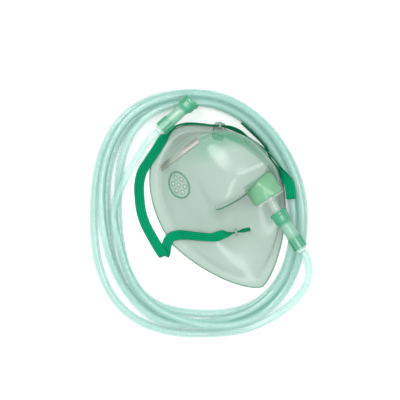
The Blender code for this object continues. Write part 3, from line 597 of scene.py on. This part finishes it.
def painted_shade_shares(levels, turns, normals):
    """How much painted shade each point of the sheet gets, from 0 to 1: steep walls are painted
    darker by how much longer a line straight down through the wall is than the wall is thick,
    one over the normal's height. The painted darker band and the part with less painted shade
    come and go with the cosine of the turn from their middle, made steeper and cut back."""
    def lobe(turn, cut):
        return np.clip(LOBE_STEEPNESS * np.cos(turns - turn) - cut, 0, 1)

    path = 1 / np.clip(np.abs(normals[..., 2]), LEAST_TILT, 1)
    depth = np.clip((path - 1) / (DEEPEST_PATH - 1), 0, 1)
    # the painted darker band along the crown's upper edge, and less painted shade round the collar
    high = np.interp(levels, SHADE_BAND_LEVELS, (0, 1, 1, 0))[:, None]
    depth = np.clip(depth + SHADE_BAND_WEIGHT * high * lobe(SHADE_BAND_TURN, SHADE_BAND_CUT), 0, 1)
    return depth * (1 - LESS_SHADE_WEIGHT * lobe(LESS_SHADE_TURN, LESS_SHADE_CUT))


def shell_sheet():
    """The shell's (points, faces, painted shade shares), the tree that finds places on it, and
    its vents: a grid of levels by turns, open where the vents' discs go, with a fan of
    triangles over its crown."""
    turns = np.linspace(0, 2 * np.pi, SHEET_TURNS, endpoint=False)
    levels = np.append(np.linspace(0, 1, SHEET_LEVELS, endpoint=False), LAST_LEVEL)
    grid = shell_grid(levels, turns)
    depth = painted_shade_shares(levels, turns, surface_normals(grid))
    faces = np.array(grid_faces(len(levels), len(turns), wrap_columns=True))
    points = grid.reshape(-1, 3)
    tree = BVHTree.FromPolygons(points.tolist(), faces.tolist())
    vents = vent_places(tree)
    for place, _ in vents:
        centres = points[faces].mean(axis=1)
        faces = faces[np.linalg.norm(centres - place, axis=1) > VENT_RADIUS]
    last, top, count = len(points) - len(turns), len(points), len(turns)
    fan = [[last + i, last + (i + 1) % count, top] for i in range(count)]
    points = np.concatenate([points, to_part([CROWN])])
    return (points, faces.tolist() + fan, np.append(depth.ravel(), 0.0)), tree, vents


def crease_line(tree):
    """The crease's middle line: a curve through its places, dropped onto the shell."""
    places = []
    for place in CREASE_PLACES:
        hit, normal, _, _ = tree.ray_cast(Vector(to_part((*place, ABOVE))), Vector(-UP))
        places.append(np.array(hit + normal * CREASE_LIFT))
    count = len(places)
    return through_rows(places, np.arange(count), np.linspace(0, count - 1, CREASE_POINTS))


def mask_pieces(vinyl, thick):
    """The mask's pieces: the shell's sheet, a bead round its rim, the crease, the vents and the
    ear tabs where the strap's route passes, each with its share of painted shade, and the collar."""
    (points, faces, depth), tree, vents = shell_sheet()
    shell = mesh_piece("mask_shell_skin", points, faces, vinyl, shares=depth)
    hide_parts("mask_shell")
    rim = shell_grid(np.zeros(1), np.linspace(0, 2 * np.pi, RIM_POINTS, endpoint=False))[0]
    rim[:, 2] = RIM_BEAD_HEIGHT
    crease = tube_shell(crease_line(tree), CREASE_RADIUS, CREASE_BORE, 10)[:2]
    shapes = {"rim_bead": (closed_tube(rim, RIM_BEAD, 10), RIM_SHADE),
              "step_crease": (crease, CREASE_SHADE)}
    for side, (place, normal) in zip(("left", "right"), vents):
        disc, trim = vent_shapes(tree, place, normal)
        shapes[f"{side}_vent_disc"] = disc, DISC_SHADE
        shapes[f"{side}_vent_trim"] = trim, TRIM_SHADE
    route = np.array(STRAP_ROWS)[:, :3]
    for side, row, lift, half_height in EAR_TABS:
        loop = tab_loop(route[row] + UP * lift, route[row + 1] - route[row - 1], half_height)
        shapes[f"{side}_ear_tab"] = loop, TAB_SHADE
    shapes["tab_tongue"] = tongue_shape(route[EAR_TABS[1][1]]), TAB_SHADE
    for name, ((points, corners), share) in shapes.items():
        piece = mesh_piece(name, points, corners, vinyl, shares=[share] * len(points))
    collar = mesh_piece("inlet_collar", *collar_shape(), thick)


# Materials. The clouds in a tint are as far across as a moulding's uneven colour is, and a
# noise of scale s has them about 1 / s metres.
VINYL_IOR = 1.53
STYRENE_IOR = 1.59
CLIP_TURN = -0.636   # radians, that bring the nose clip's own direction onto X


def tubing_vinyl():
    """Soft clear vinyl hose, tinted mint and extruded smooth: pale where the light comes
    through both walls, with a wet gloss along its back."""
    material, tree, output = new_material("mint tinted vinyl hose, extruded")
    where = add_node(tree, "ShaderNodeTexCoord").outputs["Object"]
    # 22 mm across
    cloud = add_node(tree, "ShaderNodeTexNoise", Vector=where, Scale=45.0, Detail=2.0)
    tint = add_node(tree, "ShaderNodeMix", {"data_type": "RGBA"}, {
        0: cloud.outputs["Fac"], 6: linear("#82D9C3"), 7: linear("#AAE8DB")})
    shader = add_node(tree, "ShaderNodeBsdfPrincipled", Base_Color=tint.outputs[2], Alpha=0.3,
                      Roughness=0.09, IOR=VINYL_IOR, Coat_Weight=1.0, Coat_Roughness=0.04)
    tree.links.new(shader.outputs["BSDF"], output.inputs["Surface"])
    return material


def bore_vinyl():
    """The hose's bore, a smooth wet wall that scatters white: a pale line down the middle
    of the hose, between edges where only the tinted wall is seen."""
    material, tree, output = new_material("mint tinted vinyl hose, bore")
    where = add_node(tree, "ShaderNodeTexCoord").outputs["Object"]
    # 17 mm across
    cloud = add_node(tree, "ShaderNodeTexNoise", Vector=where, Scale=60.0, Detail=2.0)
    tint = add_node(tree, "ShaderNodeMix", {"data_type": "RGBA"}, {
        0: cloud.outputs["Fac"], 6: linear("#DAF4ED"), 7: linear("#F1FCF8")})
    shader = add_node(tree, "ShaderNodeBsdfPrincipled", Base_Color=tint.outputs[2], Alpha=0.3,
                      Roughness=0.25, IOR=VINYL_IOR)
    tree.links.new(shader.outputs["BSDF"], output.inputs["Surface"])
    return material


def shell_vinyl():
    """Soft vinyl of the shell, dip moulded: a thin tinted wall that greys what is under it,
    painted a darker green where its share of painted shade is high, under a slightly rippled gloss."""
    material, tree, output = new_material("tinted vinyl, dip moulded")
    where = add_node(tree, "ShaderNodeTexCoord").outputs["Object"]
    # 36 mm across
    cloud = add_node(tree, "ShaderNodeTexNoise", Vector=where, Scale=28.0, Detail=3.0,
                     Roughness=0.45)
    tint = add_node(tree, "ShaderNodeMix", {"data_type": "RGBA"}, {
        0: cloud.outputs["Fac"], 6: linear("#82A594"), 7: linear("#9CBCAB")})
    # painted shade: the share in the attribute depth mixes in a darker green
    depth = add_node(tree, "ShaderNodeAttribute", {"attribute_name": "depth"})
    painted_shade_mix = add_node(tree, "ShaderNodeMix", {"data_type": "RGBA"}, {
        0: depth.outputs["Fac"], 6: tint.outputs[2], 7: linear("#3C9870")})
    # 17 mm apart
    ripple = add_node(tree, "ShaderNodeTexNoise", Vector=where, Scale=60.0, Detail=1.0)
    bump = add_node(tree, "ShaderNodeBump", Height=ripple.outputs["Fac"], Strength=0.12,
                    Distance=0.6 * MM)
    shader = add_node(tree, "ShaderNodeBsdfPrincipled", Base_Color=painted_shade_mix.outputs[2], Alpha=0.64,
                      Roughness=0.18, IOR=VINYL_IOR, Coat_Weight=0.35, Coat_Roughness=0.08,
                      Normal=bump.outputs["Normal"])
    tree.links.new(shader.outputs["BSDF"], output.inputs["Surface"])
    return material


def collar_vinyl():
    """The shell's vinyl where it stands thick in the collar: a fuller leaf green."""
    material, tree, output = new_material("tinted vinyl, thick in the collar")
    where = add_node(tree, "ShaderNodeTexCoord").outputs["Object"]
    # 14 mm across
    cloud = add_node(tree, "ShaderNodeTexNoise", Vector=where, Scale=70.0, Detail=2.0)
    tint = add_node(tree, "ShaderNodeMix", {"data_type": "RGBA"}, {
        0: cloud.outputs["Fac"], 6: linear("#70BD8D"), 7: linear("#8ACCA1")})
    shader = add_node(tree, "ShaderNodeBsdfPrincipled", Base_Color=tint.outputs[2], Alpha=0.55,
                      Roughness=0.18, IOR=VINYL_IOR, Coat_Weight=0.4, Coat_Roughness=0.06)
    tree.links.new(shader.outputs["BSDF"], output.inputs["Surface"])
    return material


def fitting_vinyl(name, mouth, yaw, tilt):
    """The same vinyl injection moulded thick, so that its tint is deeper than the hose's:
    pale in the bore, up to 3.5 mm from the fitting's axis, and full emerald in the outer
    wall, from 4.6 mm."""
    material, tree, output = new_material(f"green tinted vinyl, injection moulded, {name}")
    where = add_node(tree, "ShaderNodeTexCoord").outputs["Object"]
    along = add_node(tree, "ShaderNodeMapping", {"vector_type": "TEXTURE"}, Vector=where,
                     Location=[c * MM for c in mouth], Rotation=(0.0, tilt, yaw))
    across = add_node(tree, "ShaderNodeVectorMath", {"operation": "MULTIPLY"},
                      {0: along.outputs["Vector"], 1: (0.0, 1.0, 1.0)})
    radius = add_node(tree, "ShaderNodeVectorMath", {"operation": "LENGTH"},
                      {0: across.outputs[0]})
    outside = add_node(tree, "ShaderNodeMapRange", Value=radius.outputs["Value"],
                       From_Min=3.5 * MM, From_Max=4.6 * MM)
    # 8 mm across
    cloud = add_node(tree, "ShaderNodeTexNoise", Vector=where, Scale=120.0, Detail=2.0)
    wall = add_node(tree, "ShaderNodeMix", {"data_type": "RGBA"}, {
        0: cloud.outputs["Fac"], 6: linear("#00996A"), 7: linear("#12AE7E")})
    tint = add_node(tree, "ShaderNodeMix", {"data_type": "RGBA"}, {
        0: outside.outputs["Result"], 6: linear("#EAFBF5"), 7: wall.outputs[2]})
    shader = add_node(tree, "ShaderNodeBsdfPrincipled", Base_Color=tint.outputs[2], Alpha=0.7,
                      Roughness=0.16, IOR=VINYL_IOR, Coat_Weight=0.5, Coat_Roughness=0.06)
    tree.links.new(shader.outputs["BSDF"], output.inputs["Surface"])
    return material


def clear_styrene():
    """Clear hard polystyrene, injection moulded, with a faint green cast and a hard gloss."""
    material, tree, output = new_material("clear polystyrene, injection moulded")
    where = add_node(tree, "ShaderNodeTexCoord").outputs["Object"]
    # 11 mm across
    cloud = add_node(tree, "ShaderNodeTexNoise", Vector=where, Scale=90.0, Detail=1.0)
    tint = add_node(tree, "ShaderNodeMix", {"data_type": "RGBA"}, {
        0: cloud.outputs["Fac"], 6: linear("#CFE6D8"), 7: linear("#DDF0E6")})
    shader = add_node(tree, "ShaderNodeBsdfPrincipled", Base_Color=tint.outputs[2], Alpha=0.32,
                      Roughness=0.08, IOR=STYRENE_IOR)
    tree.links.new(shader.outputs["BSDF"], output.inputs["Surface"])
    return material


def soft_aluminium():
    """Soft rolled aluminium strip, dulled by handling. Its rolling marks lie along it, drawn
    coarser than the real ones, so that they show."""
    material, tree, output = new_material("soft aluminium, rolled")
    where = add_node(tree, "ShaderNodeTexCoord").outputs["Object"]
    # 17 mm long, 0.7 mm apart
    turned = add_node(tree, "ShaderNodeMapping", Vector=where, Rotation=(0.0, 0.0, CLIP_TURN),
                      Scale=(60.0, 1500.0, 60.0))
    marks = add_node(tree, "ShaderNodeTexNoise", Vector=turned.outputs["Vector"], Scale=1.0,
                     Detail=2.0)
    tone = add_node(tree, "ShaderNodeMix", {"data_type": "RGBA"}, {
        0: marks.outputs["Fac"], 6: linear("#CDBFBA"), 7: linear("#E4DAD6")})
    bump = add_node(tree, "ShaderNodeBump", Height=marks.outputs["Fac"], Strength=0.3,
                    Distance=0.2 * MM)
    shader = add_node(tree, "ShaderNodeBsdfPrincipled", Base_Color=tone.outputs[2],
                      Roughness=0.38, Metallic=1.0, Normal=bump.outputs["Normal"])
    tree.links.new(shader.outputs["BSDF"], output.inputs["Surface"])
    return material


def woven_elastic():
    """Braided elastic of emerald polyester over rubber cords: matt, with fine threads, and painted
    shade in stripes at the cords' spacing. A wave of scale s has its crests 0.314 / s metres apart."""
    material, tree, output = new_material("polyester elastic, braided")
    where = add_node(tree, "ShaderNodeUVMap", {"uv_map": "along"}).outputs["UV"]
    # threads cross the band 1.6 mm apart, coarser than the real 0.4 mm, so that they show
    weave = add_node(tree, "ShaderNodeTexWave", {"bands_direction": "Y"}, Vector=where,
                     Scale=200.0, Distortion=1.5, Detail=1.0)
    # cords lie 1.6 mm apart
    cords = add_node(tree, "ShaderNodeTexWave", {"bands_direction": "X"}, Vector=where,
                     Scale=196.0, Distortion=0.6)
    both = add_node(tree, "ShaderNodeMath", {"operation": "MULTIPLY"},
                    {0: weave.outputs["Fac"], 1: cords.outputs["Fac"]})
    # painted shade of the ribs: lighter and darker stripes at the cords' spacing
    tone = add_node(tree, "ShaderNodeMix", {"data_type": "RGBA"}, {
        0: cords.outputs["Fac"], 6: linear("#007A53"), 7: linear("#009869")})
    bump = add_node(tree, "ShaderNodeBump", Height=both.outputs[0], Strength=0.5,
                    Distance=0.3 * MM)
    shader = add_node(tree, "ShaderNodeBsdfPrincipled", Base_Color=tone.outputs[2],
                      Roughness=0.85, Specular_IOR_Level=0.06, Sheen_Weight=0.02,
                      Sheen_Roughness=0.5, Normal=bump.outputs["Normal"])
    tree.links.new(shader.outputs["BSDF"], output.inputs["Surface"])
    return material


# The strap: a braided band over four rubber cords
STRAP_WIDTH = 6.8
STRAP_THICKNESS = 0.9
STRAP_CORDS = 4
CORD_POINTS = 6       # across each
FLAT_SHARE = 0.72     # of the thickness, with the rest in the cords' bulge
STRAP_STEP = 1.0      # between its sections
# Its route from its cut end: place, and the direction of the band's width
STRAP_ROWS = (
    (25.2, -17.4, 12.9, 0.07, -0.34, 0.94),
    (20.2, -18.4, 13.0, 0.07, -0.33, 0.94),
    (15.4, -19.5, 13.3, 0.00, 0.00, 1.00),
    (10.2, -20.4, 14.4, 0.06, -0.34, 0.94),
    (6.2, -21.0, 15.9, 0.07, -0.91, 0.40),
    (1.0, -22.8, 13.7, 0.03, -0.92, -0.39),
    (-10.6, -22.5, 10.9, -0.03, -0.87, -0.49),
    (-19.5, -21.7, 6.1, 0.02, -0.92, -0.40),
    (-24.9, -21.7, 2.8, 0.14, -0.99, -0.05),
    (-30.2, -23.2, 2.5, 0.55, -0.83, 0.00),
    (-33.0, -28.6, 1.8, 0.95, -0.31, 0.00),
    (-34.3, -35.2, 1.0, 0.95, -0.31, 0.00),
    (-34.9, -36.2, 1.8, 1.00, 0.02, 0.00),
    (-35.5, -35.5, 2.6, 0.86, 0.52, 0.00),
    (-39.6, -29.4, 2.2, 0.85, 0.52, 0.00),
    (-43.9, -22.0, 1.0, 0.87, 0.49, 0.00),
    (-47.8, -14.6, 0.9, 0.92, 0.39, 0.00),
    (-50.8, -5.5, 0.9, 0.97, 0.24, 0.00),
    (-52.1, 4.3, 0.9, 1.00, 0.07, 0.00),
    (-52.3, 13.4, 0.9, 0.99, -0.12, 0.00),
    (-50.4, 22.2, 1.8, 0.92, -0.40, 0.00),
    (-45.8, 29.8, 2.6, 0.84, -0.54, 0.00),
    (-40.8, 37.2, 2.6, 0.84, -0.54, 0.00),
    (-36.8, 43.8, 2.6, 0.84, -0.55, 0.00),
    (-32.4, 50.0, 5.1, 0.59, -0.39, 0.71),
    (-26.4, 54.4, 4.8, 0.05, -0.16, 0.99),
    (-19.6, 56.2, 4.9, 0.03, -0.18, 0.98),
    (-11.2, 56.0, 5.0, 0.00, -0.18, 0.98),
    (-2.8, 55.2, 5.0, 0.00, -0.12, 0.99),
    (4.2, 54.8, 5.0, 0.00, 0.00, 1.00),
    (11.2, 53.4, 4.8, 0.10, 0.33, 0.94),
    (17.2, 51.0, 4.3, 0.16, 0.30, 0.94),
    (23.6, 47.0, 3.8, 0.00, 0.00, 1.00),
    (30.6, 42.2, 5.0, 0.00, 0.00, 1.00),
    (36.5, 37.0, 8.0, 0.00, 0.00, 1.00),
    (41.2, 32.0, 12.5, 0.00, 0.00, 1.00),
    (45.2, 26.6, 16.3, 0.00, 0.00, 1.00),
    (48.8, 20.2, 16.4, 0.66, 0.25, 0.71),
    (51.8, 14.4, 14.3, 0.93, 0.36, 0.00),
    (53.0, 9.2, 14.9, 0.99, 0.16, 0.00),
    (53.4, 4.4, 14.9, 1.00, 0.08, 0.00),
    (53.5, 3.6, 15.8, 1.00, 0.08, 0.00),
    (53.4, 4.4, 16.5, 1.00, 0.08, 0.00),
    (53.0, 9.3, 16.5, 0.99, 0.16, 0.00),
    (51.9, 14.2, 15.9, 0.93, 0.36, 0.00),
    (47.9, 19.5, 17.5, 0.66, 0.25, 0.71),
    (43.9, 25.7, 16.3, 0.00, 0.00, 1.00),
    (40.0, 31.0, 12.5, 0.00, 0.00, 1.00),
    (34.8, 42.2, 3.9, 0.20, 0.20, 0.96),
    (27.0, 50.2, 4.0, 0.22, 0.22, 0.95),
    (19.4, 57.4, 3.9, 0.22, 0.22, 0.95),
)


def seen_share(tree):
    """1 for what the camera sees, itself or in a gloss or through glass, and 0 for light."""
    path = add_node(tree, "ShaderNodeLightPath")
    share = path.outputs["Is Camera Ray"]
    for other in ("Is Glossy Ray", "Is Transmission Ray"):
        share = add_node(tree, "ShaderNodeMath", {"operation": "MAXIMUM"},
                         {0: share, 1: path.outputs[other]}).outputs[0]
    return share


# Long soft lamps: name, place, width and length in metres, and power in watts
LAMPS = (
    ("strip lamp", (-0.42, 0.42, 1.0), 0.28, 1.1, 6.5),
    ("second strip", (0.55, 0.1, 1.0), 0.22, 1.0, 3.4),
    ("third strip", (0.05, -0.58, 1.0), 0.22, 1.0, 3.0),
)
ROOM_LIGHT = 0.6     # strength of the pale room as light
SEEN_WHITE = 1.0     # strength of the same room where it is looked at
TABLE_GLOW = 0.22    # lifts the table towards the same white where it is looked at
TABLE_REACH = 3      # metres to each side


def set_table():
    """A white table top under the part."""
    mesh = bpy.data.meshes.new("table")
    r = TABLE_REACH
    mesh.from_pydata([(-r, -r, 0), (r, -r, 0), (r, r, 0), (-r, r, 0)], [], [(0, 1, 2, 3)])
    table = bpy.data.objects.new("table", mesh)
    bpy.context.scene.collection.objects.link(table)
    material, tree, output = new_material("white table, matt laminate")
    shader = add_node(tree, "ShaderNodeBsdfPrincipled", Base_Color=linear("#F7F7F7"), Roughness=0.7)
    glow = add_node(tree, "ShaderNodeEmission", Strength=TABLE_GLOW)
    lift = add_node(tree, "ShaderNodeAddShader", numbered={
        0: shader.outputs["BSDF"], 1: glow.outputs["Emission"]})
    shown = add_node(tree, "ShaderNodeMixShader", numbered={
        0: seen_share(tree), 1: shader.outputs["BSDF"], 2: lift.outputs["Shader"]})
    tree.links.new(shown.outputs["Shader"], output.inputs["Surface"])
    mesh.materials.append(material)


def set_lamps():
    """Three long lamps overhead, each turned to the middle of the part: tilted by the
    angle whose tangent is its distance from over the middle by its height."""
    for name, place, width, length, power in LAMPS:
        lamp = bpy.data.lights.new(name, "AREA")
        lamp.shape = "RECTANGLE"
        lamp.size = width
        lamp.size_y = length
        lamp.energy = power
        light = bpy.data.objects.new(name, lamp)
        light.location = place
        x, y, z = place
        light.rotation_euler = (np.arctan2(np.hypot(x, y), z), 0, np.arctan2(x, -y))
        bpy.context.scene.collection.objects.link(light)


def set_room():
    """A pale room round the part, seen as plain white."""
    world = bpy.data.worlds.new("room")
    bpy.context.scene.world = world
    world.use_nodes = True
    tree = world.node_tree
    tree.nodes.clear()
    room = add_node(tree, "ShaderNodeBackground", Color=linear("#FFFFFF"), Strength=ROOM_LIGHT)
    seen = add_node(tree, "ShaderNodeBackground", Color=linear("#FFFFFF"), Strength=SEEN_WHITE)
    mixed = add_node(tree, "ShaderNodeMixShader", numbered={
        0: seen_share(tree), 1: room.outputs["Background"], 2: seen.outputs["Background"]})
    add_node(tree, "ShaderNodeOutputWorld", Surface=mixed.outputs["Shader"])


# The two fittings: a name, the place of the mouth in millimetres, and the axis's turn
# about Z and its tilt, in radians
FITTINGS = {
    "mask_connector": ("mask", (43.8, -5.25, 23.5), -1.0053, 0.0),
    "supply_connector": ("supply", (-14.7, 72.18, 19.1), -2.4023, 0.0465),
}


def dress(node, material):
    """Gives a CAD node its finish."""
    NODES[node].data.materials.clear()
    NODES[node].data.materials.append(material)


def tubing_piece(vinyl, bore):
    """The whole tubing as one cord from fitting to fitting."""
    line = tubing_line()
    points, faces, kinds = tube_shell(line, TUBE_RADIUS, TUBE_BORE, TUBE_SIDES)
    tubing = mesh_piece("tubing", points, faces, vinyl, bore, kinds=kinds)
    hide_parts("tubing_coil", "tubing_lead_mask", "tubing_lead_supply")


def strap_piece(elastic):
    """The head strap as one band along its route."""
    points, faces, uv = band_along(STRAP_ROWS, STRAP_WIDTH, STRAP_THICKNESS, STRAP_CORDS,
                                   STRAP_STEP)
    strap = mesh_piece("strap", points, faces, elastic, uv=uv)
    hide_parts("head_strap")


def main():
    """The part's pieces and finishes, then what stands round it."""
    set_camera()
    for node, (name, mouth, yaw, tilt) in FITTINGS.items():
        dress(node, fitting_vinyl(name, mouth, yaw, tilt))
    tubing_piece(tubing_vinyl(), bore_vinyl())
    mask_pieces(shell_vinyl(), collar_vinyl())
    dress("inlet_adaptor", clear_styrene())
    dress("nose_clip", soft_aluminium())
    strap_piece(woven_elastic())
    set_table()
    set_lamps()
    set_room()
    bpy.context.scene.view_settings.view_transform = "Standard"


main()
bpy.context.view_layer.update()
